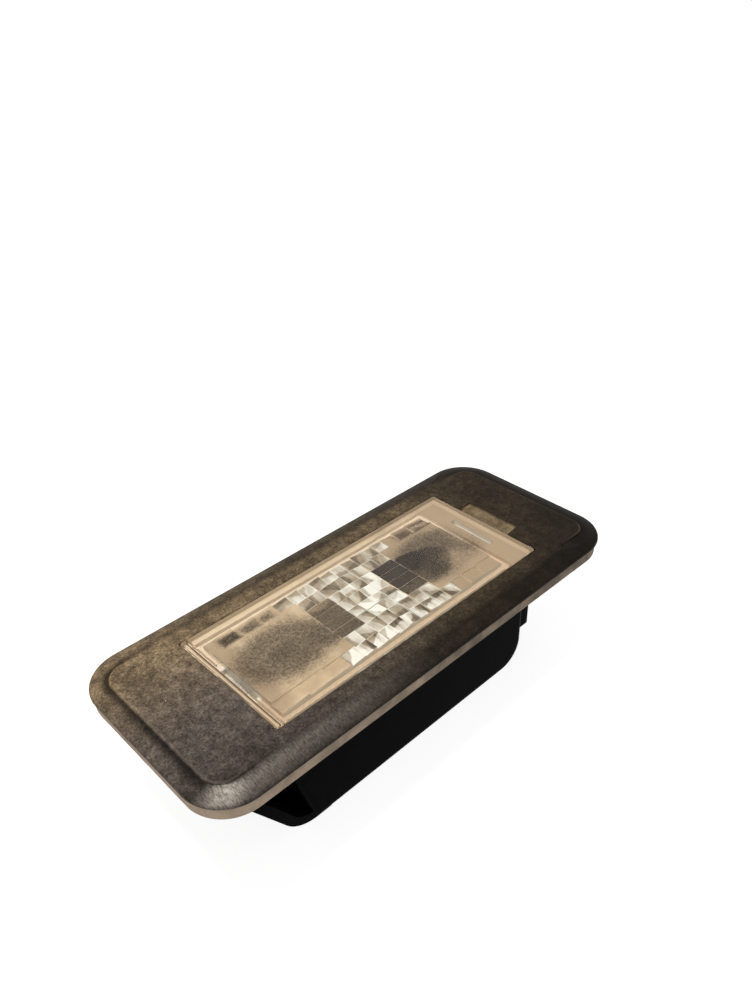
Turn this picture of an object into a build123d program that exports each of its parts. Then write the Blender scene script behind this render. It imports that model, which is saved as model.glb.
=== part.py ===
from build123d import *

import math
import os

# Number plate lamp for a car. A flanged housing snaps into a cut-out of the body panel, and a
# prism lens that is pried off at one end gives access to a festoon bulb between two spring contacts.
# Millimetres. The origin is on the housing's back, under the middle of the flange.
# +X runs along the lamp towards the plug socket, +Z points out of the lens.

# Lens, the size that the rest is laid out around
lens_length = 54.6
lens_width = 23.0
lens_top = 22.2
plate_thickness = 2.0
window_thickness = 1.2
lens_proud = 0.15
lens_corner = 0.4
lens_edge = 0.25
lens_gap = 0.15
seat_gap = 0.05
end_strip = 1.15
strip_groove = 0.15
strip_groove_depth = 0.6

# Lens skirt and catches
skirt_depth = 1.2
skirt_wall = 1.2
skirt_gap = 0.2
tongue_width = 7.7
tongue_drop = 3.0
tongue_height = 1.4
tongue_reach = 1.9
tongue_gap = 0.25
pivot_bar_inset = 0.6
pivot_bar_width = 1.5
pivot_bar_proud = 0.12
pivot_bar_corner = 0.5
hook_width = 9.0
hook_leg = 1.0
hook_nose = 0.9
hook_height = 1.1
hook_gap = 0.25
catch_height = 1.3

# Prism field on the inner side of the lens
prism_depth = 0.9
steep_drop = 0.55
gentle_drop = 0.27
step_depth = 0.3
step_drop = 0.2
prism_lap = 0.2
cell_pitch = 2.3
core_cells = 4
core_rows = 4
mid_cells = 8
end_cells = 4
end_growth = 1.2
edge_row = 2.5
inner_row = 2.5

# Flange
panel_end = 11.35
panel_side = 2.35
panel_corner = 3.0
flange_corner = 7.0
panel_step = 0.3
panel_edge = 0.15
end_border = 3.0
side_border = 3.5
border_drop = 1.0
border_land = 0.2
border_nose = 0.4
roll_inset = 0.4
roll_crease = 0.05
roll_edge = 0.05
roll_ramp = 4.5
roll_end_gap = 0.8
notch_length = 3.3
notch_width = 11.2
notch_depth = 1.0
notch_splay = 0.4

# Gasket
gasket_thickness = 2.4
gasket_inset = 0.4
gasket_gap = 0.5

# Housing box
rim_wall = 0.85
box_wall = 1.8
floor_thickness = 1.8
end_lean = 16.4
end_ledge = 0.45
end_land = 1.0
back_corner = 5.0
cavity_corner = 1.2
box_edge = 1.3
hook_well = 3.75
well_wall = 0.9

# Spring latch at the left end
latch_thickness = 1.6
latch_side_inset = 0.5
latch_slope = 57.0
latch_bend = 6.0
latch_run = 2.65
latch_return = 4.5
latch_nose_round = 1.2
latch_tip_gap = 1.2
latch_tip_drop = 0.6

# Fixed lug at the right end
sheet_room = 1.25
lug_height = 3.0
lug_reach = 2.6
lug_edge = 0.6

# Plug socket
socket_depth = 7.1
socket_wall = 1.3
socket_height = 5.4
socket_lift = 0.6
socket_side_room = 1.2
socket_corner = 1.0

# Contacts
sheet_thickness = 0.5
strip_width = 4.0
strip_offset = 3.8
strip_bend = 0.6
head_above_axis = 4.8
head_below_axis = 4.5
head_corner = 1.5
riser_gap = 0.3
tab_width = 2.8
tab_length = 5.5
tab_gap = 0.1
stake_radius = 0.8
stake_head_radius = 1.3
stake_head_height = 0.6
stake_gap = 0.05
strip_stake_spacing = 16.0

# Festoon bulb
bulb_length = 36.0
bulb_axis = 9.6
glass_radius = 5.25
glass_wall = 0.7
glass_shoulder = 2.4
glass_neck_bare = 1.1
glass_neck_in_cap = 2.3
cap_radius = 4.25
cap_wall = 0.4
cap_gap = 0.15
cap_barrel = 3.6
cap_cone = 2.4
cap_tip_radius = 1.2
contact_hole_radius = 2.5
contact_gap = 0.03
filament_length = 8.0
filament_radius = 0.35
lead_radius = 0.25
lead_gap = 0.02

# Heights and places that follow
opening_length = lens_length + 2 * lens_gap
opening_width = lens_width + 2 * lens_gap
opening_right = opening_length / 2
opening_left = -opening_right
lens_right = opening_right - lens_gap
lens_left = lens_right - lens_length
seat_height = lens_top - plate_thickness - seat_gap
panel_height = lens_top - lens_proud
window_height = lens_top - window_thickness
panel_length = opening_length + 2 * panel_end
panel_width = opening_width + 2 * panel_side
flange_length = panel_length + 2 * end_border
flange_width = panel_width + 2 * side_border
flange_thickness = panel_step + border_drop
flange_bottom = panel_height - flange_thickness
gasket_bottom = flange_bottom - gasket_thickness

box_width = opening_width + 2 * rim_wall
cavity_width = box_width - 2 * box_wall
well_left = opening_right - hook_well
cavity_right = well_left - end_land
right_face = cavity_right + box_wall
neck_right = opening_right + well_wall
lean = math.tan(math.radians(end_lean))
wall_run = box_wall / math.cos(math.radians(end_lean))

skirt_bottom = seat_height - skirt_depth
tongue_bottom = seat_height - tongue_drop
well_width = hook_width + 2 * hook_gap
hook_bottom = seat_height - catch_height - hook_height
well_bottom = hook_bottom - hook_gap
web_width = well_width + 2 * box_wall
lug_top = gasket_bottom - sheet_room
lug_bottom = min(lug_top, well_bottom) - lug_height

latch_tip_height = gasket_bottom - latch_tip_drop
latch_nose_height = latch_tip_height - latch_return

blade_inner = bulb_length / 2 - cap_cone * (contact_hole_radius - cap_tip_radius) / (
    cap_radius - cap_tip_radius
)
blade_inner += contact_gap
blade_middle = blade_inner + sheet_thickness / 2
strip_top = floor_thickness + sheet_thickness
riser_x = cavity_right - cavity_corner - riser_gap
tab_height = socket_lift + socket_wall + socket_height / 2
head_width = 2 * strip_offset + strip_width
stake_spots = {
    "left": [(-strip_stake_spacing / 2, -strip_offset), (strip_stake_spacing / 2, -strip_offset)],
    "right": [((blade_middle + riser_x) / 2, strip_offset)],
}


def block(x_span, y_span, z_span):
    """A box between the given lowest and highest X, Y and Z."""
    sizes = [high - low for low, high in (x_span, y_span, z_span)]
    return Pos(x_span[0], y_span[0], z_span[0]) * Box(*sizes, align=(Align.MIN,) * 3)


def across(width):
    """The Y span of something that is centred on the lamp's long axis."""
    return (-width / 2, width / 2)


def side_profile(outline, width, corners=None):
    """A solid of constant side view: an outline in X and Z, drawn across the lamp."""
    face = Plane.XZ * make_face(Polyline(*outline, close=True))
    for spot, radius in corners or []:
        corner = face.vertices().sort_by_distance((spot[0], 0, spot[1]))[0]
        face = fillet(corner, radius)
    return extrude(face, width / 2, both=True)


def end_wall_outer(height):
    """X of the leaning left wall's outer face at a height."""
    return opening_left + end_ledge - wall_run + lean * (seat_height - height)


def end_wall_inner(height):
    """X of the leaning left wall's inner face at a height."""
    return opening_left + end_ledge + lean * (seat_height - height)


def flange_section(width, drop):
    """A flange section with its outer foot at the origin: a land, a rolled edge and a flat top."""
    rise = drop - border_land
    wide = (width**2 + rise**2 - 2 * width * border_nose) / (2 * (rise - border_nose))
    share = border_nose / (wide - border_nose)
    join = (share * (width - border_nose) - border_nose, border_land + share * (wide - rise))
    lap = (flange_corner - end_border) / 4
    outline = Polyline(
        (0, border_land), (0, 0), (-width - lap, 0), (-width - lap, drop), (-width, drop)
    )
    top_arc = TangentArc((-width, drop), join, tangent=(1, 0))
    nose_arc = TangentArc((0, border_land), join, tangent=(0, 1))
    return make_face(outline + top_arc + nose_arc)


def make_side_roll():
    """One long side of the flange: the panel's height rolls off to the edge and fades at both ends."""
    width = side_border + roll_inset - roll_edge
    drop = flange_thickness - roll_crease
    foot = Plane(
        origin=(0, flange_width / 2 - roll_edge, flange_bottom), x_dir=(0, 1, 0), z_dir=(1, 0, 0)
    )
    half_length = flange_length / 2 - flange_corner - roll_end_gap
    roll = extrude(foot * flange_section(width, drop), half_length, both=True)
    for side in (-1, 1):
        ramp_start = (side * (half_length - roll_ramp), 0, flange_bottom + drop)
        ramp = Plane(origin=ramp_start, z_dir=(side * panel_step / roll_ramp, 0, 1))
        roll = split(roll, ramp, keep=Keep.BOTTOM)
    return roll


def make_flange():
    """The flange: a raised panel with a step to the border at its ends and a roll at its sides."""
    base = Plane.XY.offset(flange_bottom)
    panel = extrude(base * RectangleRounded(panel_length, panel_width, panel_corner), flange_thickness)
    panel = chamfer(panel.faces().sort_by(Axis.Z)[-1].edges(), panel_edge)

    path = (base * RectangleRounded(flange_length, flange_width, flange_corner)).wire()
    tangent = path % 0
    outward = tangent.cross(Vector(0, 0, 1))
    foot = Plane(origin=path @ 0, x_dir=outward, z_dir=-tangent)
    border = sweep(foot * flange_section(end_border, border_drop), path)
    roll = make_side_roll()
    return panel + [border, roll, mirror(roll, Plane.XZ)]


def make_box():
    """The box behind the flange: leaning left end, upright right end, rounded back corner."""
    outline = [
        (end_wall_outer(flange_bottom), flange_bottom),
        (end_wall_outer(0), 0),
        (right_face, 0),
        (right_face, flange_bottom),
    ]
    box = side_profile(outline, box_width, [((right_face, 0), back_corner)])
    rounded = [
        edge
        for edge in box.edges()
        if abs(abs(edge.center().Y) - box_width / 2) < box_edge / 10
        and edge.center().Z < flange_bottom - box_edge / 10
    ]
    return fillet(rounded, box_edge)


def make_neck_and_lug():
    """The right end under the flange: the neck round the hook well, and the fixed lug below it."""
    neck = block((right_face - box_wall, neck_right), across(box_width), (gasket_bottom, flange_bottom))
    neck = fillet(neck.edges().filter_by(Axis.Z).group_by(Axis.X)[-1], box_edge)
    web = block((right_face - box_wall, neck_right), across(web_width), (lug_bottom, flange_bottom))
    lug = block((right_face, neck_right + lug_reach), across(web_width), (lug_bottom, lug_top))
    lug = chamfer(lug.edges().filter_by(Axis.Y).group_by(Axis.X)[-1], lug_edge)
    return neck + web + lug


def make_latch():
    """The spring latch: a tongue that leaves the back, bends up and returns towards the flange."""
    mid = latch_thickness / 2
    bend_x = end_wall_outer(0) - latch_run
    nose_x = bend_x - (latch_nose_height - mid) / math.tan(math.radians(latch_slope))
    tip_x = end_wall_outer(latch_tip_height) - latch_tip_gap - mid
    line = FilletPolyline(
        (end_wall_outer(0) + 2 * latch_thickness, mid),
        (bend_x, mid),
        (nose_x, latch_nose_height),
        (tip_x, latch_tip_height),
        radius=[latch_bend, latch_nose_round],
    )
    width = box_width - 2 * latch_side_inset
    return extrude(Plane.XZ * trace(line, latch_thickness), width / 2, both=True), tip_x - mid


def make_socket():
    """The plug socket on the right end: a shroud round the two tabs."""
    inner_width = head_width + 2 * socket_side_room
    outer_width = inner_width + 2 * socket_wall
    outer_height = socket_height + 2 * socket_wall
    shroud = block(
        (right_face - box_wall, right_face + socket_depth),
        across(outer_width),
        (socket_lift, socket_lift + outer_height),
    )
    shroud = fillet(shroud.edges().filter_by(Axis.X), socket_corner)
    room = block(
        (right_face, right_face + 2 * socket_depth),
        across(inner_width),
        (socket_lift + socket_wall, socket_lift + socket_wall + socket_height),
    )
    return shroud, room


def make_housing():
    """The whole moulding, with its cavity, lens seat, hook well, notch, tab slots and stakes."""
    latch, _ = make_latch()
    shroud, plug_room = make_socket()

    window_width = tongue_width + 2 * tongue_gap
    window = block(
        (end_wall_outer(seat_height), end_wall_inner(tongue_bottom)),
        across(window_width),
        (tongue_bottom - tongue_gap, tongue_bottom + tongue_height + tongue_gap),
    )
    body = make_box() - window
    body += [make_flange(), make_neck_and_lug(), latch, shroud]

    cavity_outline = [
        (end_wall_inner(seat_height), seat_height),
        (end_wall_inner(floor_thickness), floor_thickness),
        (cavity_right, floor_thickness),
        (cavity_right, seat_height),
    ]
    cavity = side_profile(
        cavity_outline, cavity_width, [((cavity_right, floor_thickness), cavity_corner)]
    )
    opening = block(
        (opening_left, opening_right), across(opening_width), (seat_height, panel_height + lens_proud)
    )
    catch_face = lens_hook_leg()[1] + hook_gap
    well_mouth = block((well_left, catch_face), across(well_width), (well_bottom, seat_height))
    well = block(
        (well_left, opening_right), across(well_width), (well_bottom, seat_height - catch_height)
    )
    body -= [cavity, opening, well_mouth, well, plug_room, make_notch()]
    for side in (-1, 1):
        body -= block(
            (cavity_right - box_wall, right_face + box_wall),
            (
                side * strip_offset - tab_width / 2 - tab_gap,
                side * strip_offset + tab_width / 2 + tab_gap,
            ),
            (
                tab_height - sheet_thickness / 2 - tab_gap,
                tab_height + sheet_thickness / 2 + tab_gap,
            ),
        )
    standing = (Align.CENTER, Align.CENTER, Align.MIN)
    for x, y in stake_spots["left"] + stake_spots["right"]:
        root = floor_thickness / 2
        body += Pos(x, y, root) * Cylinder(stake_radius, strip_top - root, align=standing)
        body += Pos(x, y, strip_top) * Cylinder(stake_head_radius, stake_head_height, align=standing)
    return body


def make_notch():
    """The pry notch beside the lens: a ramp with splayed ends."""
    top = Plane.XY.offset(panel_height) * make_face(
        Polyline(
            (opening_right, -notch_width / 2),
            (opening_right + notch_length, -notch_width / 2 + notch_splay),
            (opening_right + notch_length, notch_width / 2 - notch_splay),
            (opening_right, notch_width / 2),
            close=True,
        )
    )
    wedge = side_profile(
        [
            (opening_right, panel_height - notch_depth),
            (opening_right + notch_length, panel_height),
            (opening_right, panel_height),
        ],
        notch_width,
    )
    return wedge & extrude(top, -notch_depth)


def lens_hook_leg():
    """X of the two faces of the snap hook's leg."""
    start = well_left + (hook_well - hook_leg - hook_nose) / 4
    return start, start + hook_leg


def field_columns(skirt_inner_left, skirt_inner_right):
    """Column edges of the prism rows: even in the middle, wider towards both ends."""
    half = mid_cells * cell_pitch / 2
    columns = [-half + i * cell_pitch for i in range(mid_cells + 1)]
    steps = [end_growth**i for i in range(end_cells)]
    for end in (skirt_inner_left, skirt_inner_right):
        start = math.copysign(half, end)
        unit = (end - start) / sum(steps)
        columns += [start + unit * sum(steps[: i + 1]) for i in range(end_cells)]
    return sorted(columns)


def prism(x_span, y_span, depth, drop_x, drop_y):
    """One prism under the lens window, its face tilted by the given drops along X and Y."""
    cell = block(x_span, y_span, (window_height - depth, window_height + prism_lap))
    middle = (sum(x_span) / 2, sum(y_span) / 2, window_height - depth / 2)
    tilt = (drop_x / (x_span[1] - x_span[0]), drop_y / (y_span[1] - y_span[0]), 1)
    return split(cell, Plane(origin=middle, z_dir=tilt), keep=Keep.TOP)


def make_prisms(x_low, x_high, y_half):
    """All prisms: long edge rows, short inner rows, the core over the bulb and the stepped windows."""
    columns = field_columns(x_low, x_high)
    core_half = core_cells * cell_pitch / 2
    mid_half = mid_cells * cell_pitch / 2
    inner_edge = y_half - edge_row
    core_edge = inner_edge - inner_row
    row_pitch = 2 * core_edge / core_rows
    rows = [(-core_edge + i * row_pitch, -core_edge + (i + 1) * row_pitch) for i in range(core_rows)]
    cells = []
    for index, span in enumerate(zip(columns, columns[1:])):
        outward = math.copysign(1, sum(span))
        sway = 1 if index % 2 else -1
        reach = abs(sum(span)) / 2
        for side in (-1, 1):
            edge_span = sorted((side * inner_edge, side * y_half))
            cells.append(
                prism(span, edge_span, prism_depth, outward * steep_drop, sway * side * gentle_drop)
            )
            if reach < mid_half:
                inner_span = sorted((side * core_edge, side * inner_edge))
                cells.append(
                    prism(span, inner_span, prism_depth, outward * steep_drop, -sway * side * gentle_drop)
                )
        if reach < core_half:
            for row in rows:
                fall = -math.copysign(steep_drop, sum(row))
                cells.append(prism(span, row, prism_depth, outward * gentle_drop, fall))
    for side in (-1, 1):
        window_span = sorted((side * core_half, side * mid_half))
        cells += [prism(window_span, row, step_depth, 0, step_drop) for row in rows]
    return cells


def make_lens():
    """The lens: flat plate, locating skirt, prism field, pivot tongue and snap hook."""
    middle = (lens_left + lens_right) / 2
    base = Plane.XY.offset(seat_height + seat_gap) * Pos(middle, 0)
    plate = extrude(base * RectangleRounded(lens_length, lens_width, lens_corner), plate_thickness)
    plate = fillet(plate.faces().sort_by(Axis.Z)[-1].edges(), lens_edge)

    skirt_left = end_wall_inner(tongue_bottom) + skirt_gap
    skirt_right = cavity_right - skirt_gap
    skirt_half = cavity_width / 2 - skirt_gap
    inner_left, inner_right = skirt_left + skirt_wall, skirt_right - skirt_wall
    inner_half = skirt_half - skirt_wall
    root = seat_height + prism_lap
    skirt = block((skirt_left, skirt_right), (-skirt_half, skirt_half), (skirt_bottom, root))
    field = block((inner_left, inner_right), (-inner_half, inner_half), (skirt_bottom, window_height))

    tongue = side_profile(
        [
            (inner_left, root),
            (inner_left, tongue_bottom),
            (skirt_left - tongue_reach, tongue_bottom),
            (skirt_left - tongue_reach, tongue_bottom + tongue_height),
            (skirt_left, tongue_bottom + tongue_height),
            (skirt_left, root),
        ],
        tongue_width,
    )
    groove = block(
        (lens_left + end_strip, lens_left + end_strip + strip_groove),
        across(lens_width),
        (lens_top - strip_groove_depth, lens_top),
    )
    bar = block(
        (lens_left + pivot_bar_inset, lens_left + pivot_bar_inset + pivot_bar_width),
        across(tongue_width),
        (lens_top - 2 * strip_groove_depth, lens_top + pivot_bar_proud),
    )
    bar = fillet(bar.edges().filter_by(Axis.Z), pivot_bar_corner)

    leg_left, leg_right = lens_hook_leg()
    hook = side_profile(
        [
            (leg_left, root),
            (leg_left, hook_bottom),
            (leg_right, hook_bottom),
            (leg_right + hook_nose, hook_bottom + hook_height / 2),
            (leg_right + hook_nose, hook_bottom + hook_height),
            (leg_right, hook_bottom + hook_height),
            (leg_right, root),
        ],
        hook_width,
    )
    lens = plate - groove + [skirt, tongue, bar, hook] - field
    return lens + make_prisms(inner_left, inner_right, inner_half)


def make_gasket():
    """The foam gasket under the flange, open round the neck and the latch."""
    base = Plane.XY.offset(gasket_bottom)
    outer = RectangleRounded(
        flange_length - 2 * gasket_inset, flange_width - 2 * gasket_inset, flange_corner - gasket_inset
    )
    ring = extrude(base * outer, gasket_thickness)
    _, latch_edge = make_latch()
    return ring - block(
        (latch_edge - gasket_gap, neck_right + gasket_gap),
        across(box_width + 2 * gasket_gap),
        (gasket_bottom, flange_bottom),
    )


def make_contact(side):
    """One spring contact: a holed head on a strip that lies on the floor and ends in a plug tab."""
    name = "right" if side > 0 else "left"
    blade_x = side * blade_middle
    floor_z = floor_thickness + sheet_thickness / 2
    strip_y = side * strip_offset
    line = FilletPolyline(
        (blade_x, bulb_axis),
        (blade_x, floor_z),
        (riser_x, floor_z),
        (riser_x, tab_height),
        (cavity_right - tab_gap, tab_height),
        radius=strip_bend,
    )
    strip = extrude(Plane.XZ * trace(line, sheet_thickness), strip_width / 2, both=True)
    tab = block(
        ((riser_x + cavity_right) / 2, right_face + tab_length),
        (strip_y - tab_width / 2, strip_y + tab_width / 2),
        (tab_height - sheet_thickness / 2, tab_height + sheet_thickness / 2),
    )
    tab = chamfer(tab.edges().filter_by(Axis.Y).group_by(Axis.X)[-1], sheet_thickness / 3)
    head = block(
        (blade_x - sheet_thickness / 2, blade_x + sheet_thickness / 2),
        across(head_width),
        (bulb_axis - head_below_axis, bulb_axis + head_above_axis),
    )
    head = fillet(head.edges().filter_by(Axis.X), head_corner)
    contact = Pos(0, strip_y, 0) * strip + [tab, head]
    contact -= Pos(blade_x, 0, bulb_axis) * Rot(0, 90, 0) * Cylinder(
        contact_hole_radius, 2 * sheet_thickness
    )
    for x, y in stake_spots[name]:
        contact -= Pos(x, y, floor_z) * Cylinder(stake_radius + stake_gap, 2 * sheet_thickness)
    return contact


def turned(points):
    """A body of revolution on the bulb's axis, from points of distance along it and radius."""
    profile = make_face(Polyline(*points, close=True))
    return Pos(0, 0, bulb_axis) * revolve(Plane.XZ * profile, Axis.X)


def make_bulb():
    """The festoon bulb: glass envelope, two caps with filled tips, and the filament on its leads."""
    tip = bulb_length / 2
    cone = tip - cap_cone
    barrel = cone - cap_barrel
    neck_end = barrel + glass_neck_in_cap
    shoulder = barrel - glass_neck_bare
    straight = shoulder - glass_shoulder
    neck_radius = cap_radius - cap_wall - cap_gap
    bore = lead_radius + lead_gap
    glass = turned(
        [
            (-neck_end, bore),
            (-neck_end, neck_radius),
            (-shoulder, neck_radius),
            (-straight, glass_radius),
            (straight, glass_radius),
            (shoulder, neck_radius),
            (neck_end, neck_radius),
            (neck_end, bore),
            (shoulder, bore),
            (straight, glass_radius - glass_wall),
            (-straight, glass_radius - glass_wall),
            (-shoulder, bore),
        ]
    )
    cap = turned(
        [
            (barrel, cap_radius - cap_wall),
            (barrel, cap_radius),
            (cone, cap_radius),
            (tip, cap_tip_radius),
            (tip, 0),
            (cone, 0),
            (cone, cap_radius - cap_wall),
        ]
    )
    half = filament_length / 2
    filament = turned([(-half, 0), (-half, filament_radius), (half, filament_radius), (half, 0)])
    lead = turned([(half, 0), (half, lead_radius), (cone, lead_radius), (cone, 0)])
    return {
        "bulb_glass": glass,
        "bulb_cap_right": cap,
        "bulb_cap_left": mirror(cap, Plane.YZ),
        "bulb_filament": filament,
        "bulb_lead_right": lead,
        "bulb_lead_left": mirror(lead, Plane.YZ),
    }


nodes = {
    "housing": make_housing(),
    "panel_gasket": make_gasket(),
    "lens": make_lens(),
    "contact_left": make_contact(-1),
    "contact_right": make_contact(1),
    **make_bulb(),
}

os.makedirs("parts", exist_ok=True)
for name, shape in nodes.items():
    export_step(shape, f"parts/{name}.step")
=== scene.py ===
"""Number plate lamp, dressed as the used lamp of the photograph.

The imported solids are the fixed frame. Each class below is one sub-assembly or one finish of the lamp:
a grained and dusty flange on a black box, a foam gasket, a dusty prism lens, and the bulb inside it.
Everything is in metres in the lamp's own frame: +X runs from the latch to the plug, +Z out of the lens.
"""
import logging
import math
import random
from dataclasses import dataclass, field
from enum import IntEnum

import bmesh
import bpy
from mathutils import Matrix, Quaternion, Vector, noise


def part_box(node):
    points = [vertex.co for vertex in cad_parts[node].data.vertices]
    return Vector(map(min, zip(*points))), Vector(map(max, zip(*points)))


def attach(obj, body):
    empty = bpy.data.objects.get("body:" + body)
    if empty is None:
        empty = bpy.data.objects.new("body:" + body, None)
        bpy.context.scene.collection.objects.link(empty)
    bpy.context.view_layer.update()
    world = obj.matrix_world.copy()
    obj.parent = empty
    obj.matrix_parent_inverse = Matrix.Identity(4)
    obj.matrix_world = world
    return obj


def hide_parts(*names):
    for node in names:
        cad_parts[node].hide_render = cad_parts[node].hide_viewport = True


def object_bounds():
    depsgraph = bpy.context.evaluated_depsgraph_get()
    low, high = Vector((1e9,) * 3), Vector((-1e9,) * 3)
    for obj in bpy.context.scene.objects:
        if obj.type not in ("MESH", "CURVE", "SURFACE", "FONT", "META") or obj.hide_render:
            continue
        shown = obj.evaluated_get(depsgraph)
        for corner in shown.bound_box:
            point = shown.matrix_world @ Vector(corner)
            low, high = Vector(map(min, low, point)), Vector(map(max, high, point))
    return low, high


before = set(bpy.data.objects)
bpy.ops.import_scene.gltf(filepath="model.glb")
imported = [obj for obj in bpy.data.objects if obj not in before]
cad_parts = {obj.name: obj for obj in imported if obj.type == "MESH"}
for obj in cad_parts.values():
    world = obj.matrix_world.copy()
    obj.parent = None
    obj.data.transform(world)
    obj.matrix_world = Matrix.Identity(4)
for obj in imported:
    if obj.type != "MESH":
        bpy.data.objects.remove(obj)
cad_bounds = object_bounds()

Material = bpy.types.Material
Mesh = bpy.types.Mesh
Socket = bpy.types.NodeSocket
Tree = bpy.types.NodeTree

MM = 0.001
BODY = "root"
MERGE_DISTANCE = 0.001 * MM
QUARTER_TURN = math.pi / 2
CELL_PLACE = "cell_place"
CELL_CUT = "cell_cut"
WHITE = (1.0, 1.0, 1.0, 1.0)
NOISE_MEAN = (0.5, 0.5, 0.5)

MATH = "ShaderNodeMath"
MIX = "ShaderNodeMix"
NOISE = "ShaderNodeTexNoise"
RANGE = "ShaderNodeMapRange"
SPLIT = "ShaderNodeSeparateXYZ"
VECTOR = "ShaderNodeVectorMath"
# A Mix node's colour sockets share their names with its number sockets, so they go by index.
MIX_A, MIX_B, MIX_RESULT = 6, 7, 2
log = logging.getLogger("number_plate_lamp")


class HousingPart(IntEnum):
    """The two finishes of the housing, as its material indices."""

    FLANGE = 0
    BOX = 1


@dataclass(frozen=True)
class Fade:
    """How an amount changes across a span. It stays the same beyond the span's ends.

    The span is in millimetres where it crosses the lamp, and else in the unit of what it follows.
    """

    start: float
    end: float
    at_start: float = 0.0
    at_end: float = 1.0

    def over(self, value: Socket) -> dict[str, Socket | float]:
        """The inputs of a Map Range node that fades over a value."""
        names = ("Value", "From Min", "From Max", "To Min", "To Max")
        return dict(zip(names, (value, self.start, self.end, self.at_start, self.at_end)))


@dataclass(frozen=True)
class Pattern:
    """An uneven pattern: the size of its features in millimetres, and how fine and rough it is."""

    size_mm: float
    detail: float
    roughness: float
    distortion: float = 0.0

    def at(self, place: Socket) -> dict[str, Socket | float]:
        """The inputs of a Noise Texture node that draws the pattern at a place."""
        names = ("Vector", "Scale", "Detail", "Roughness", "Distortion")
        return dict(zip(names, (place, 1 / self.size_mm, self.detail, self.roughness, self.distortion)))


def linear(hex_colour: str) -> tuple[float, float, float, float]:
    """Turns an sRGB hex colour into linear RGBA.

    Args:
        hex_colour: a colour such as "#8C7D69".

    Returns:
        The same colour as linear red, green, blue and an alpha of 1.
    """
    channels = [int(hex_colour[i : i + 2], 16) / 255 for i in (1, 3, 5)]
    red, green, blue = [c / 12.92 if c <= 0.04045 else ((c + 0.055) / 1.055) ** 2.4 for c in channels]
    return red, green, blue, 1.0


def add_node(
    tree: Tree, kind: str, inputs: dict | None = None, out: int | str = 0, **settings: object
) -> Socket | None:
    """Adds one node with its settings, values and links.

    Args:
        tree: the node tree that gets the node.
        kind: the node's type name.
        inputs: for each input, by name or index, a value to set or a socket to link from.
        out: the output to hand back, by name or index.
        settings: attributes of the node.

    Returns:
        The chosen output of the new node, or None if it has no outputs.
    """
    node = tree.nodes.new(kind)
    for name, value in settings.items():
        setattr(node, name, value)
    for key, value in (inputs or {}).items():
        if isinstance(value, Socket):
            tree.links.new(value, node.inputs[key])
        else:
            node.inputs[key].default_value = value
    return node.outputs[out] if node.outputs else None


def start_material(name: str) -> tuple[Material, Tree, Socket]:
    """A new material with no shader yet.

    Args:
        name: the real material's name.

    Returns:
        The material, its node tree and the place on the piece in millimetres.
    """
    material = bpy.data.materials.new(name)
    material.use_nodes = True
    tree = material.node_tree
    tree.nodes.clear()
    place = add_node(tree, "ShaderNodeTexCoord", out="Object")
    return material, tree, add_node(tree, VECTOR, {0: place, "Scale": 1 / MM}, operation="SCALE")


def finish_material(material: Material, inputs: dict) -> Material:
    """Ends a material in one Principled shader.

    Args:
        material: the material to end.
        inputs: the shader's values and sockets by name.

    Returns:
        The same material.
    """
    shader = add_node(material.node_tree, "ShaderNodeBsdfPrincipled", inputs)
    add_node(material.node_tree, "ShaderNodeOutputMaterial", {"Surface": shader})
    return material


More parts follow.
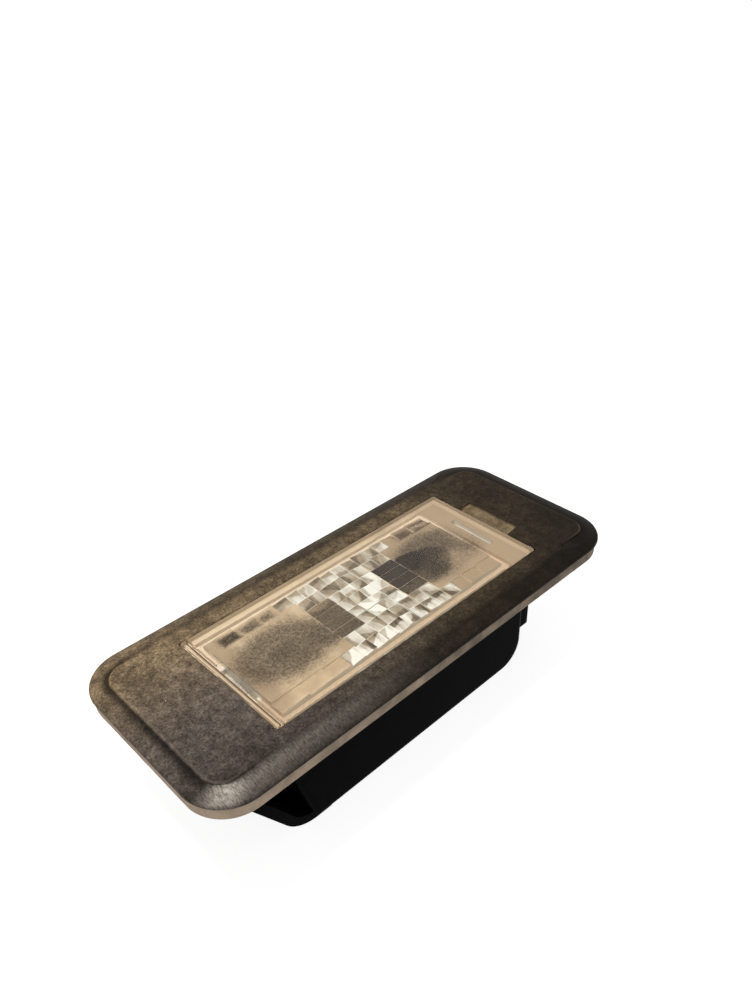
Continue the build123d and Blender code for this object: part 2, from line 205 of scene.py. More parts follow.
@dataclass(frozen=True)
class GrainedAbs:
    """The flange's face: black ABS moulded in a spark-eroded tool.

    The grain breaks its gloss into small soft sparkles, and pale specks are painted on it as sparkles too.
    Beige road dust sits on the raised panel, thickest along the far side and at the latch end; that coat
    also paints the fall-off of the lamp's light, lighter at the latch end and the far side. The border is
    rubbed clean and glossier, painted darker beside the panel's step as shade, with a painted highlight
    at the near latch corner and a painted highlight line on the panel's edge at the ends.
    """

    plastic: str = "#14110F"
    grey_dust: str = "#AFA094"
    warm_dust: str = "#BEA582"
    # Painted highlight: the lamp's gloss on the border at the near latch corner and along the near side,
    # drawn in pale colour.
    painted_highlight: str = "#D5CCC0"
    # Painted sparkles: pale specks that stand in for glints on the grain.
    painted_sparkle: str = "#E8E4DC"
    # Real spark-eroded grain is too fine to show, so this is drawn coarser.
    grain: Pattern = Pattern(0.3, 2.0, 0.6, 0.5)
    smears: Pattern = Pattern(1.4, 3.0, 0.65)
    patches: Pattern = Pattern(6.0, 3.0, 0.6)
    strokes: Pattern = Pattern(1.0, 2.0, 0.6)
    stroke_mm: tuple[float, float, float] = (0.2, 0.65, 0.65)
    panel_half_mm: tuple[float, float] = (38.8, 13.9)
    panel_corner_mm: float = 3.0
    opening_half_mm: tuple[float, float] = (27.5, 11.7)
    notch_half_mm: tuple[float, float] = (30.85, 5.65)
    any_height_mm: float = 100.0
    at_ends: Fade = Fade(33.0, 37.5)
    # These fades are dust and partly the painted fall-off of the lamp's light: lighter at the latch end and
    # the far side, darker at the plug end.
    latch_end: Fade = Fade(36.0, -20.0, 0.055, 0.195)
    far_side: Fade = Fade(-14.0, 14.0, 0.78, 2.05)
    plug_end: Fade = Fade(24.0, 31.0, 1.0, 0.6)
    border_dust: Fade = Fade(-5.0, -40.0, 0.35, 0.9)
    # Painted shade: the border carries less dust right beside the panel's step, so it shows darker there.
    step_shade: Fade = Fade(0.5, 1.6, 0.2, 1.0)
    edge_width: Fade = Fade(0.0, 1.0, 1.3, 0.15)
    grain_dust: Fade = Fade(0.36, 0.66, 0.55, 1.45)
    smear_dust: Fade = Fade(0.35, 0.65, 0.65, 1.35)
    patch_dust: Fade = Fade(0.35, 0.65, 0.75, 1.25)
    # Painted highlight: a pale line along the panel's edge at the two ends, where the edge catches the
    # light.
    ridge_mm: float = -0.1
    ridge_half_mm: float = 0.13
    ridge_highlight: float = 0.1
    sunken: Fade = Fade(22.0, 21.8)
    notch_dust: Fade = Fade(0.2, 0.7, 0.0, 0.4)
    warm_far: Fade = Fade(-4.0, 12.0)
    warm_plug: Fade = Fade(-24.0, 10.0)
    sparkle_pitch_mm: float = 4.0
    sparkle_edge: Fade = Fade(0.022, 0.014)
    stroke_depth: Fade = Fade(0.3, 0.68, 0.2)
    # Where the painted highlight lies and how it fades.
    highlight_corner_mm: tuple[float, float, float] = (-37.7, -14.4, 21.6)
    corner_highlight: Fade = Fade(3.3, 0.3, 0.0, 0.55)
    side_highlight: Fade = Fade(-2.0, -37.0, 0.0, 0.36)
    highlight_side_mm: float = 14.9
    side_width: Fade = Fade(2.8, 0.4)
    roughness: Fade = Fade(0.0, 1.0, 0.5, 0.36)
    specular: float = 0.03
    relief: float = 0.5
    relief_depth: float = 0.035 * MM

    def build(self) -> Material:
        """Builds the material's nodes.

        Returns:
            The finished material.
        """
        material, tree, place = start_material("grained_black_abs")
        axes = add_node(tree, SPLIT, {0: place}).node.outputs
        grain, smears, patches = (
            add_node(tree, NOISE, pattern.at(place)) for pattern in (self.grain, self.smears, self.patches)
        )
        outward = add_node(tree, VECTOR, {0: place}, operation="ABSOLUTE")
        past_panel = self.outside(tree, outward, self.panel_half_mm, self.panel_corner_mm)
        at_ends = add_node(tree, RANGE, self.at_ends.over(add_node(tree, SPLIT, {0: outward}, "X")))
        edge_width = add_node(tree, RANGE, self.edge_width.over(at_ends))
        on_border = add_node(tree, RANGE, {"Value": past_panel, "From Max": edge_width})

        latch_end, plug_end, border_dust = (
            add_node(tree, RANGE, fade.over(axes["X"]))
            for fade in (self.latch_end, self.plug_end, self.border_dust)
        )
        far_side, step_shade, grain_dust, smear_dust, patch_dust = (
            add_node(tree, RANGE, fade.over(value))
            for fade, value in (
                (self.far_side, axes["Y"]),
                (self.step_shade, past_panel),
                (self.grain_dust, grain),
                (self.smear_dust, smears),
                (self.patch_dust, patches),
            )
        )
        # The border's dust, thinned beside the step as painted shade.
        border_dust = add_node(tree, MATH, {0: border_dust, 1: step_shade}, operation="MULTIPLY")
        rubbed = add_node(tree, MIX, {"Factor": on_border, "A": 1.0, "B": border_dust})
        amount = latch_end
        for factor in (far_side, plug_end, rubbed, grain_dust, smear_dust, patch_dust):
            amount = add_node(tree, MATH, {0: amount, 1: factor}, operation="MULTIPLY")
        # Painted highlight: the pale line on the panel's edge at the ends, added to the dust amount.
        on_ridge = add_node(
            tree, MATH, {0: past_panel, 1: self.ridge_mm, 2: self.ridge_half_mm}, operation="COMPARE"
        )
        on_ridge = add_node(tree, MATH, {0: on_ridge, 1: at_ends}, operation="MULTIPLY")
        amount = add_node(
            tree, MATH, {0: on_ridge, 1: self.ridge_highlight, 2: amount}, operation="MULTIPLY_ADD"
        )
        amount = add_node(
            tree,
            MATH,
            {0: amount, 1: self.in_notch(tree, axes["Z"], outward, smear_dust)},
            operation="MAXIMUM",
        )

        warm_far = add_node(tree, RANGE, self.warm_far.over(axes["Y"]))
        warm_plug = add_node(tree, RANGE, self.warm_plug.over(axes["X"]))
        warmth = add_node(tree, MATH, {0: warm_far, 1: warm_plug}, operation="MAXIMUM")
        dust = add_node(
            tree,
            MIX,
            {"Factor": warmth, MIX_A: linear(self.grey_dust), MIX_B: linear(self.warm_dust)},
            MIX_RESULT,
            data_type="RGBA",
        )
        # Painted sparkles: small pale specks scattered over the flange.
        sparkle_cells = add_node(
            tree, "ShaderNodeTexVoronoi", {"Vector": place, "Scale": 1 / self.sparkle_pitch_mm}, "Distance"
        )
        painted_sparkle = add_node(tree, RANGE, self.sparkle_edge.over(sparkle_cells))
        colour = linear(self.plastic)
        for factor, coat in (
            # Dust, with the painted fall-off of light in its amount.
            (amount, dust),
            # The painted highlight on the border.
            (self.painted_highlight_mask(tree, place, on_border), linear(self.painted_highlight)),
            # The painted sparkles.
            (painted_sparkle, linear(self.painted_sparkle)),
        ):
            inputs = {"Factor": factor, MIX_A: colour, MIX_B: coat}
            colour = add_node(tree, MIX, inputs, MIX_RESULT, data_type="RGBA")
        relief = {"Height": grain, "Strength": self.relief, "Distance": self.relief_depth}
        return finish_material(
            material,
            {
                "Base Color": colour,
                "Roughness": add_node(tree, RANGE, self.roughness.over(on_border)),
                "Specular IOR Level": self.specular,
                "Normal": add_node(tree, "ShaderNodeBump", relief),
            },
        )

    def outside(
        self, tree: Tree, outward: Socket, half: tuple[float, float], corner: float = 0.0
    ) -> Socket:
        """How far a place lies outside a rectangle with round corners.

        Args:
            tree: the material's node tree.
            outward: the place in millimetres, without signs.
            half: half the rectangle's length and width.
            corner: the radius of its corners.

        Returns:
            The distance in millimetres, below 0 inside.
        """
        core = (half[0] - corner, half[1] - corner, self.any_height_mm)
        past = add_node(tree, VECTOR, {0: outward, 1: core}, operation="SUBTRACT")
        clipped = add_node(tree, VECTOR, {0: past, 1: (0.0, 0.0, 0.0)}, operation="MAXIMUM")
        round_part = add_node(tree, VECTOR, {0: clipped}, "Value", operation="LENGTH")
        sides = add_node(tree, SPLIT, {0: past}).node.outputs
        deepest = add_node(tree, MATH, {0: sides["X"], 1: sides["Y"]}, operation="MAXIMUM")
        inner_part = add_node(tree, MATH, {0: deepest, 1: 0.0}, operation="MINIMUM")
        both = add_node(tree, MATH, {0: round_part, 1: inner_part}, operation="ADD")
        return add_node(tree, MATH, {0: both, 1: corner}, operation="SUBTRACT")

    def in_notch(self, tree: Tree, height: Socket, outward: Socket, smear_dust: Socket) -> Socket:
        """The dust that has settled on the pry notch's ramp, clear of the lens.

        Args:
            tree: the material's node tree.
            height: the height of the place in millimetres.
            outward: the place in millimetres, without signs.
            smear_dust: how the dust is smeared.

        Returns:
            How dusty the place is, from 0 to 1.
        """
        past_notch = self.outside(tree, outward, self.notch_half_mm)
        past_opening = self.outside(tree, outward, self.opening_half_mm)
        settled = add_node(tree, RANGE, self.sunken.over(height))
        inside = add_node(tree, MATH, {0: past_notch, 1: 0.0}, operation="LESS_THAN")
        off_lens = add_node(tree, RANGE, self.notch_dust.over(past_opening))
        for factor in (inside, off_lens, smear_dust):
            settled = add_node(tree, MATH, {0: settled, 1: factor}, operation="MULTIPLY")
        return settled

    def painted_highlight_mask(self, tree: Tree, place: Socket, on_border: Socket) -> Socket:
        """A painted highlight in short strokes of the grain: strong at the near latch corner and fading
        along the near side.

        Args:
            tree: the material's node tree.
            place: the place on the flange in millimetres.
            on_border: 1 on the border, 0 on the panel.

        Returns:
            How much painted highlight the place gets, from 0 to 1.
        """
        stretched = add_node(tree, VECTOR, {0: place, 1: self.stroke_mm}, operation="DIVIDE")
        strokes = add_node(tree, NOISE, self.strokes.at(stretched))
        stroke = add_node(tree, RANGE, self.stroke_depth.over(strokes))
        away = add_node(tree, VECTOR, {0: place, 1: self.highlight_corner_mm}, "Value", operation="DISTANCE")
        at_corner = add_node(
            tree, RANGE, self.corner_highlight.over(away), interpolation_type="SMOOTHSTEP"
        )
        axes = add_node(tree, SPLIT, {0: place}).node.outputs
        along_side = add_node(tree, RANGE, self.side_highlight.over(axes["X"]))
        off_side = add_node(tree, MATH, {0: axes["Y"], 1: self.highlight_side_mm}, operation="ADD")
        off_side = add_node(tree, MATH, {0: off_side}, operation="ABSOLUTE")
        near_side = add_node(tree, RANGE, self.side_width.over(off_side))
        along_side = add_node(tree, MATH, {0: along_side, 1: near_side}, operation="MULTIPLY")
        highlight_amount = add_node(tree, MATH, {0: at_corner, 1: along_side}, operation="ADD")
        for factor in (stroke, on_border):
            highlight_amount = add_node(tree, MATH, {0: highlight_amount, 1: factor}, operation="MULTIPLY", use_clamp=True)
        return highlight_amount


@dataclass(frozen=True)
class SmoothAbs:
    """The box, latch and socket: the same black ABS from a smooth part of the tool.

    It is nearly black, a little glossy, and dulled unevenly by handling.
    """

    plastic: str = "#070708"
    grime: str = "#11100F"
    mottle: Pattern = Pattern(3.0, 4.0, 0.6)
    scuffs: Pattern = Pattern(0.5, 2.0, 0.5)
    grime_amount: Fade = Fade(0.45, 0.7, 0.0, 0.8)
    roughness: Fade = Fade(0.3, 0.7, 0.24, 0.45)
    specular: float = 0.006
    relief: float = 0.15
    relief_depth: float = 0.02 * MM

    def build(self) -> Material:
        """Builds the material's nodes.

        Returns:
            The finished material.
        """
        material, tree, place = start_material("smooth_black_abs")
        mottle, scuffs = (add_node(tree, NOISE, pattern.at(place)) for pattern in (self.mottle, self.scuffs))
        grime = add_node(tree, RANGE, self.grime_amount.over(mottle))
        coats = {"Factor": grime, MIX_A: linear(self.plastic), MIX_B: linear(self.grime)}
        relief = {"Height": scuffs, "Strength": self.relief, "Distance": self.relief_depth}
        return finish_material(
            material,
            {
                "Base Color": add_node(tree, MIX, coats, MIX_RESULT, data_type="RGBA"),
                "Roughness": add_node(tree, RANGE, self.roughness.over(mottle)),
                "Specular IOR Level": self.specular,
                "Normal": add_node(tree, "ShaderNodeBump", relief),
            },
        )


@dataclass(frozen=True)
class ClosedCellFoam:
    """The gasket: soft grey-beige foam, matt, with fine cells, grime stains, and painted shade that darkens
    it towards the plug.
    """

    pale: str = "#E8CFB6"
    grime_and_shade: str = "#8E8274"
    # Real cells are too fine to show, so these are drawn coarser.
    cell_mm: float = 0.26
    stains: Pattern = Pattern(3.5, 4.0, 0.65)
    stain: Fade = Fade(0.3, 0.7, -0.35, 0.35)
    # Painted shade: the foam is drawn darker towards the plug end.
    along: Fade = Fade(-38.0, 12.0, 0.1, 0.85)
    roughness: float = 0.9
    specular: float = 0.1
    relief: float = 0.4
    relief_depth: float = 0.06 * MM

    def build(self) -> Material:
        """Builds the material's nodes.

        Returns:
            The finished material.
        """
        material, tree, place = start_material("closed_cell_foam")
        # Painted shade towards the plug, added to the grime stains.
        along = add_node(tree, RANGE, self.along.over(add_node(tree, SPLIT, {0: place}, "X")))
        stain = add_node(tree, RANGE, self.stain.over(add_node(tree, NOISE, self.stains.at(place))))
        amount = add_node(tree, MATH, {0: along, 1: stain}, operation="ADD", use_clamp=True)
        cells = add_node(
            tree, "ShaderNodeTexVoronoi", {"Vector": place, "Scale": 1 / self.cell_mm}, "Distance"
        )
        coats = {"Factor": amount, MIX_A: linear(self.pale), MIX_B: linear(self.grime_and_shade)}
        relief = {"Height": cells, "Strength": self.relief, "Distance": self.relief_depth}
        return finish_material(
            material,
            {
                "Base Color": add_node(tree, MIX, coats, MIX_RESULT, data_type="RGBA"),
                "Roughness": self.roughness,
                "Specular IOR Level": self.specular,
                "Normal": add_node(tree, "ShaderNodeBump", relief),
            },
        )


@dataclass(frozen=True)
class FilmPatch:
    """A place where the dust film under the lens is thinner, or thicker where its thinning is below 0.

    It is an ellipse, or a rectangle where it is square, in millimetres on the lens.
    """

    centre: tuple[float, float]
    radii: tuple[float, float]
    thinning: float
    softness: float
    square: bool = False


@dataclass(frozen=True)
class DustyAcrylic:
    """The lens: clear moulded acrylic with a beige film of dust on its inner side.

    The film is solid along the rim and thins out into dark ovals. Each prism face gets its own painted
    slanted cut of light and shade in the film's colour, so the field of prisms glitters in painted bright
    and dull slivers.
    """

    clear: str = "#F4EFE6"
    thin: str = "#312921"
    film_dull: str = "#AA9982"
    film_pale: str = "#D4C3A8"
    # The skirt's walls are painted paler than the film to make up for the shade on them, the far walls most.
    rim: str = "#DFD0B9"
    near_wall: str = "#D2C0AA"
    far_wall: str = "#E6D9C7"
    # Painted highlight: the upright slat steps outside the prism field are drawn pale.
    step: str = "#F6ECDB"
    # Painted highlight: the catches' legs are drawn near white.
    catch_highlight: str = "#F0EBE0"
    # Painted shade: a dark line in the groove at the latch end of the lens.
    groove_shade: str = "#5A4634"
    # The painted light and shade of the prism faces, from dark to glinting.
    cell_dark: str = "#655C4F"
    cell_mid: str = "#A69C8A"
    cell_pale: str = "#F2F6F4"
    specular_tint: str = "#94836F"
    roughness: float = 0.06
    ior: float = 1.49
    passed: Fade = Fade(0.7, 0.0, 0.0, 0.62)
    top_mm: float = 21.93
    wall_mm: float = 20.1
    catch_mm: tuple[float, float] = (23.9, 4.6)
    groove_mm: float = -26.075
    groove_half_mm: float = 0.09
    half_size_mm: tuple[float, float] = (27.3, 11.5)
    # Real dust is too fine to show, so its grit is drawn coarser.
    grit: Pattern = Pattern(0.36, 1.6, 0.6)
    grains: Fade = Fade(0.36, 0.64, -0.76, 0.76)
    drift: Pattern = Pattern(2.2, 3.0, 0.6)
    drift_reach_mm: float = 1.5
    clouds: Pattern = Pattern(4.4, 4.0, 0.65)
    cloud: Fade = Fade(0.35, 0.65, 0.0, 0.6)
    long_side: Fade = Fade(8.6, 10.0, 0.0, 0.5)
    # Painted shade: the film is drawn darker towards both ends of the lens.
    at_ends: Fade = Fade(21.0, 23.0, 0.0, -0.8)
    end_to_end: Fade = Fade(-20.0, 18.0, 0.35, -0.5)
    rim_amount: Fade = Fade(-20.0, 18.0, 1.0, 0.35)
    rim_edge: Fade = Fade(-1.1, -0.8)
    cell_limit: float = 0.01
    cell_film: Fade = Fade(0.0, 0.5, 0.4, 0.95)
    dark_to_mid: Fade = Fade(0.0, 0.5)
    mid_to_pale: Fade = Fade(0.5, 1.0)
    wobble: Pattern = Pattern(1.2, 2.0, 0.5)
    wobble_reach: float = 0.35
    cut_band: Fade = Fade(-0.17, -0.07, -0.16, 0.16)
    cell_slope: float = 0.3
    streak_count: tuple[float, float, float] = (2.4, 0.8, 0.0)
    streaks: Pattern = Pattern(1.0, 1.5, 0.5)
    streak: Fade = Fade(0.3, 0.7, -0.2, 0.2)
    glint: Fade = Fade(0.45, 0.49, 0.0, 0.3)
    patches: tuple[FilmPatch, ...] = (
        FilmPatch((-16.9, 0.0), (8.2, 5.7), 0.63, 0.34),
        FilmPatch((-17.6, -0.6), (5.4, 3.7), 0.71, 0.80),
        FilmPatch((-10.8, -1.6), (4.2, 2.9), 0.68, 0.50),
        FilmPatch((-6.9, 0.0), (2.35, 4.35), 0.72, 0.08, square=True),
        FilmPatch((6.9, 0.0), (2.35, 4.35), 0.94, 0.08, square=True),
        FilmPatch((10.9, 1.2), (4.2, 2.6), 0.97, 0.25),
        FilmPatch((11.8, -0.7), (6.8, 4.5), 0.84, 0.28),
        FilmPatch((15.6, 0.1), (8.8, 5.8), 0.62, 0.30),
        FilmPatch((-21.0, 7.6), (1.7, 1.1), 0.80, 0.40, square=True),
        FilmPatch((-17.3, 7.6), (1.7, 1.1), 0.64, 0.70, square=True),
        FilmPatch((-14.2, 7.6), (1.2, 1.0), 0.60, 0.70, square=True),
        FilmPatch((19.4, 7.6), (1.9, 1.1), 0.97, 0.50, square=True),
        FilmPatch((15.6, 7.6), (1.8, 1.1), 0.66, 0.70, square=True),
        FilmPatch((17.2, -3.6), (2.4, 2.4), -0.34, 0.80),
        # Pale wisps by the plug-end catch: painted highlight.
        FilmPatch((23.0, 0.8), (2.2, 2.8), -0.30, 0.80),
        FilmPatch((-6.9, 4.0), (2.6, 1.0), -0.30, 0.80),
        FilmPatch((7.0, -3.8), (3.2, 1.6), -0.20, 0.80),
        # Thin bars of thicker film: pale lines across the windows and along their outer ends, painted
        # highlights of the slat edges.
        FilmPatch((-6.9, 1.9), (2.3, 0.07), -0.18, 0.50, square=True),
        FilmPatch((-6.9, -0.2), (2.3, 0.07), -0.14, 0.50, square=True),
        FilmPatch((-6.9, -2.2), (2.3, 0.07), -0.16, 0.50, square=True),
        FilmPatch((6.9, 1.9), (2.3, 0.07), -0.12, 0.50, square=True),
        FilmPatch((6.9, -2.2), (2.3, 0.07), -0.12, 0.50, square=True),
        FilmPatch((-9.4, 0.0), (0.07, 4.3), -0.20, 0.50, square=True),
        FilmPatch((9.4, 0.0), (0.07, 4.3), -0.16, 0.50, square=True),
    )

    def build(self) -> Material:
        """Builds the material's nodes.

        Returns:
            The finished material.
        """
        material, tree, place = start_material("dusty_clear_acrylic")
        axes = add_node(tree, SPLIT, {0: place}).node.outputs
        on_cell, on_step, light = self.cell_light(tree, place)
        cell_film = add_node(tree, RANGE, self.cell_film.over(light))
        film = add_node(tree, MATH, {0: self.flat_film(tree, place), 1: on_step}, operation="MAXIMUM")
        cover = self.grained(tree, place, film)
        film, cover = (
            add_node(tree, MIX, {"Factor": on_cell, "A": amount, "B": cell_film}) for amount in (film, cover)
        )
        under_top = add_node(tree, MATH, {0: axes["Z"], 1: self.top_mm}, operation="LESS_THAN")
        in_groove = add_node(
            tree, MATH, {0: axes["X"], 1: self.groove_mm, 2: self.groove_half_mm}, operation="COMPARE"
        )
        in_groove = add_node(tree, MATH, {0: in_groove, 1: under_top}, operation="MULTIPLY")

        shine = linear(self.cell_dark)
        for fade, coat in ((self.dark_to_mid, self.cell_mid), (self.mid_to_pale, self.cell_pale)):
            amount = add_node(tree, RANGE, fade.over(light))
            inputs = {"Factor": amount, MIX_A: shine, MIX_B: linear(coat)}
            shine = add_node(tree, MIX, inputs, MIX_RESULT, data_type="RGBA")
        colour = self.film_colour(tree, place)
        for factor, coat in (
            (on_step, linear(self.step)),
            (on_cell, shine),
            # The painted shade in the groove.
            (in_groove, linear(self.groove_shade)),
        ):
            inputs = {"Factor": factor, MIX_A: colour, MIX_B: coat}
            colour = add_node(tree, MIX, inputs, MIX_RESULT, data_type="RGBA")
        for factor, ground in ((cover, self.thin), (under_top, self.clear)):
            inputs = {"Factor": factor, MIX_A: linear(ground), MIX_B: colour}
            colour = add_node(tree, MIX, inputs, MIX_RESULT, data_type="RGBA")
        passed = add_node(tree, RANGE, self.passed.over(film))
        return finish_material(
            material,
            {
                "Base Color": colour,
                "Transmission Weight": add_node(tree, MIX, {"Factor": under_top, "A": 1.0, "B": passed}),
                "Roughness": self.roughness,
                "IOR": self.ior,
                "Specular Tint": linear(self.specular_tint),
            },
        )

    def cell_light(self, tree: Tree, place: Socket) -> tuple[Socket, Socket, Socket]:
        """The light and shade painted on each prism face: a slanted cut, a slope, streaks and a bright edge.

        Args:
            tree: the material's node tree.
            place: the place on the lens in millimetres.

        Returns:
            Whether the place is on a prism, whether it is on an outer step, and its painted light from 0 to
            1.
        """
        on_face, cut = (
            add_node(tree, "ShaderNodeAttribute", out="Vector", attribute_name=name)
            for name in (CELL_PLACE, CELL_CUT)
        )
        turn, contrast, base = add_node(tree, SPLIT, {0: cut}).node.outputs
        on_cell = add_node(tree, MATH, {0: base, 1: self.cell_limit}, operation="GREATER_THAN")
        on_step = add_node(tree, MATH, {0: base, 1: -self.cell_limit}, operation="LESS_THAN")
        wobble = add_node(tree, NOISE, self.wobble.at(place), "Color")
        wobble = add_node(tree, VECTOR, {0: wobble, 1: NOISE_MEAN}, operation="SUBTRACT")
        spot = add_node(
            tree, VECTOR, {0: wobble, 1: (self.wobble_reach,) * 3, 2: on_face}, operation="MULTIPLY_ADD"
        )
        turned = add_node(
            tree, "ShaderNodeVectorRotate", {"Vector": spot, "Angle": turn}, rotation_type="Z_AXIS"
        )
        along = add_node(tree, SPLIT, {0: turned}, "X")
        band = add_node(tree, RANGE, self.cut_band.over(along))
        slope = add_node(tree, MATH, {0: along, 1: self.cell_slope, 2: band}, operation="MULTIPLY_ADD")
        stretched = add_node(
            tree, VECTOR, {0: spot, 1: self.streak_count, 2: cut}, operation="MULTIPLY_ADD"
        )
        streaks = add_node(tree, NOISE, self.streaks.at(stretched))
        streak = add_node(tree, RANGE, self.streak.over(streaks))
        light = base
        for part in (slope, streak):
            light = add_node(tree, MATH, {0: part, 1: contrast, 2: light}, operation="MULTIPLY_ADD")
        outward = add_node(tree, VECTOR, {0: on_face}, operation="ABSOLUTE")
        sides = add_node(tree, SPLIT, {0: outward}).node.outputs
        edge = add_node(tree, MATH, {0: sides["X"], 1: sides["Y"]}, operation="MAXIMUM")
        glint = add_node(tree, RANGE, self.glint.over(edge))
        light = add_node(tree, MATH, {0: light, 1: glint}, operation="ADD", use_clamp=True)
        return on_cell, on_step, light

    def film_colour(self, tree: Tree, place: Socket) -> Socket:
        """The film's colour: cloudy beige, paler along the long sides, at the rim and on the walls.

        It is palest towards the latch end. The skirt's walls are painted paler to make up for the shade on
        them, the far walls most, and the catches carry a painted highlight.

        Args:
            tree: the material's node tree.
            place: the place on the lens in millimetres.

        Returns:
            The socket that holds the colour.
        """
        here = add_node(tree, SPLIT, {0: place}).node.outputs
        outward = add_node(tree, VECTOR, {0: place}, operation="ABSOLUTE")
        sides = add_node(tree, SPLIT, {0: outward}).node.outputs
        clouds = add_node(tree, NOISE, self.clouds.at(place))
        paleness = add_node(tree, RANGE, self.cloud.over(clouds))
        for fade, value in (
            (self.long_side, sides["Y"]),
            (self.at_ends, sides["X"]),
            (self.end_to_end, here["X"]),
        ):
            part = add_node(tree, RANGE, fade.over(value))
            paleness = add_node(tree, MATH, {0: paleness, 1: part}, operation="ADD")
        beyond = add_node(tree, VECTOR, {0: outward, 1: (*self.half_size_mm, 0.0)}, operation="SUBTRACT")
        past = add_node(tree, SPLIT, {0: beyond}).node.outputs
        nearest = add_node(tree, MATH, {0: past["X"], 1: past["Y"]}, operation="MAXIMUM")
        rim_amount = add_node(tree, RANGE, self.rim_amount.over(here["X"]))
        at_rim = add_node(tree, RANGE, {**self.rim_edge.over(nearest), "To Max": rim_amount})

        far = add_node(tree, MATH, {0: here["Y"], 1: 0.0}, operation="GREATER_THAN")
        past_end = add_node(tree, MATH, {0: sides["X"], 1: self.catch_mm[0]}, operation="GREATER_THAN")
        in_width = add_node(tree, MATH, {0: sides["Y"], 1: self.catch_mm[1]}, operation="LESS_THAN")
        on_catch = add_node(tree, MATH, {0: past_end, 1: in_width}, operation="MULTIPLY")
        # The walls' colours, painted paler to make up for their shade.
        on_wall = add_node(tree, MATH, {0: sides["Z"], 1: self.wall_mm}, operation="LESS_THAN")
        lightened_wall = linear(self.near_wall)
        for factor, coat in ((far, self.far_wall), (on_catch, self.catch_highlight)):
            inputs = {"Factor": factor, MIX_A: lightened_wall, MIX_B: linear(coat)}
            lightened_wall = add_node(tree, MIX, inputs, MIX_RESULT, data_type="RGBA")
        colour = linear(self.film_dull)
        for factor, coat in (
            (paleness, linear(self.film_pale)),
            (at_rim, linear(self.rim)),
            (on_wall, lightened_wall),
        ):
            inputs = {"Factor": factor, MIX_A: colour, MIX_B: coat}
            colour = add_node(tree, MIX, inputs, MIX_RESULT, data_type="RGBA")
        return colour

    def flat_film(self, tree: Tree, place: Socket) -> Socket:
        """The film between the prisms: solid dust with thin patches.

        Args:
            tree: the material's node tree.
            place: the place on the lens in millimetres.

        Returns:
            How much of the film there is, from 0 to 1.
        """
        drift = add_node(tree, NOISE, self.drift.at(place), "Color")
        drift = add_node(tree, VECTOR, {0: drift, 1: NOISE_MEAN}, operation="SUBTRACT")
        wavering = add_node(
            tree, VECTOR, {0: drift, 1: (self.drift_reach_mm,) * 3, 2: place}, operation="MULTIPLY_ADD"
        )
        thinned = 0.0
        for patch in self.patches:
            spot = place if patch.square else wavering
            offset = add_node(tree, VECTOR, {0: spot, 1: (*patch.centre, 0.0)}, operation="SUBTRACT")
            per_radius = (1 / patch.radii[0], 1 / patch.radii[1], 0.0)
            in_radii = add_node(tree, VECTOR, {0: offset, 1: per_radius}, operation="MULTIPLY")
            if patch.square:
                unsigned = add_node(tree, VECTOR, {0: in_radii}, operation="ABSOLUTE")
                sides = add_node(tree, SPLIT, {0: unsigned}).node.outputs
                reach = add_node(tree, MATH, {0: sides["X"], 1: sides["Y"]}, operation="MAXIMUM")
            else:
                reach = add_node(tree, VECTOR, {0: in_radii}, "Value", operation="LENGTH")
            fade = Fade(1 + patch.softness, 1 - patch.softness, 0.0, patch.thinning)
            amount = add_node(tree, RANGE, fade.over(reach), interpolation_type="SMOOTHSTEP")
            join = "MAXIMUM" if patch.thinning > 0 else "ADD"
            thinned = add_node(tree, MATH, {0: thinned, 1: amount}, operation=join)
        return add_node(tree, MATH, {0: 1.0, 1: thinned}, operation="SUBTRACT", use_clamp=True)

    def grained(self, tree: Tree, place: Socket, film: Socket) -> Socket:
        """The film broken into grains where it is half thin.

        Args:
            tree: the material's node tree.
            place: the place on the lens in millimetres.
            film: how much of the film there is.

        Returns:
            How much of the place its grains cover, from 0 to 1.
        """
        grains = add_node(tree, RANGE, self.grains.over(add_node(tree, NOISE, self.grit.at(place))))
        spare = add_node(tree, MATH, {0: 1.0, 1: film}, operation="SUBTRACT")
        broken = add_node(tree, MATH, {0: film, 1: spare}, operation="MULTIPLY")
        return add_node(
            tree, MATH, {0: grains, 1: broken, 2: film}, operation="MULTIPLY_ADD", use_clamp=True
        )


@dataclass(frozen=True)
class StainedMetal:
    """A bare metal whose colour and gloss wander between a bright and a stained state."""

    name: str
    bright: str
    stained: str
    stains: Pattern
    roughness: Fade
    stain: Fade = Fade(0.35, 0.65)

    def build(self) -> Material:
        """Builds the material's nodes.

        Returns:
            The finished material.
        """
        material, tree, place = start_material(self.name)
        amount = add_node(tree, RANGE, self.stain.over(add_node(tree, NOISE, self.stains.at(place))))
        coats = {"Factor": amount, MIX_A: linear(self.bright), MIX_B: linear(self.stained)}
        return finish_material(
            material,
            {
                "Base Color": add_node(tree, MIX, coats, MIX_RESULT, data_type="RGBA"),
                "Roughness": add_node(tree, RANGE, self.roughness.over(amount)),
                "Metallic": 1.0,
            },
        )


# Stamped brass sheet, tarnished brown: dull, with only a little of its yellow left.
CONTACT_BRASS = StainedMetal(
    "tarnished_brass_sheet", "#8F7546", "#4A3A26", Pattern(2.2, 4.0, 0.6), Fade(0.0, 1.0, 0.35, 0.6)
)
# Thin nickel on pressed brass, hazed by the bulb's heat: grey and half glossy.
CAP_NICKEL = StainedMetal(
    "hazed_nickel_plate", "#8E8A82", "#5C564C", Pattern(1.6, 4.0, 0.6), Fade(0.0, 1.0, 0.25, 0.45)
)
# Drawn tungsten and nickel wire: dark grey and satin.
FILAMENT_WIRE = StainedMetal(
    "drawn_filament_wire", "#6B6A68", "#3F3E40", Pattern(0.5, 4.0, 0.6), Fade(0.0, 1.0, 0.35, 0.5)
)


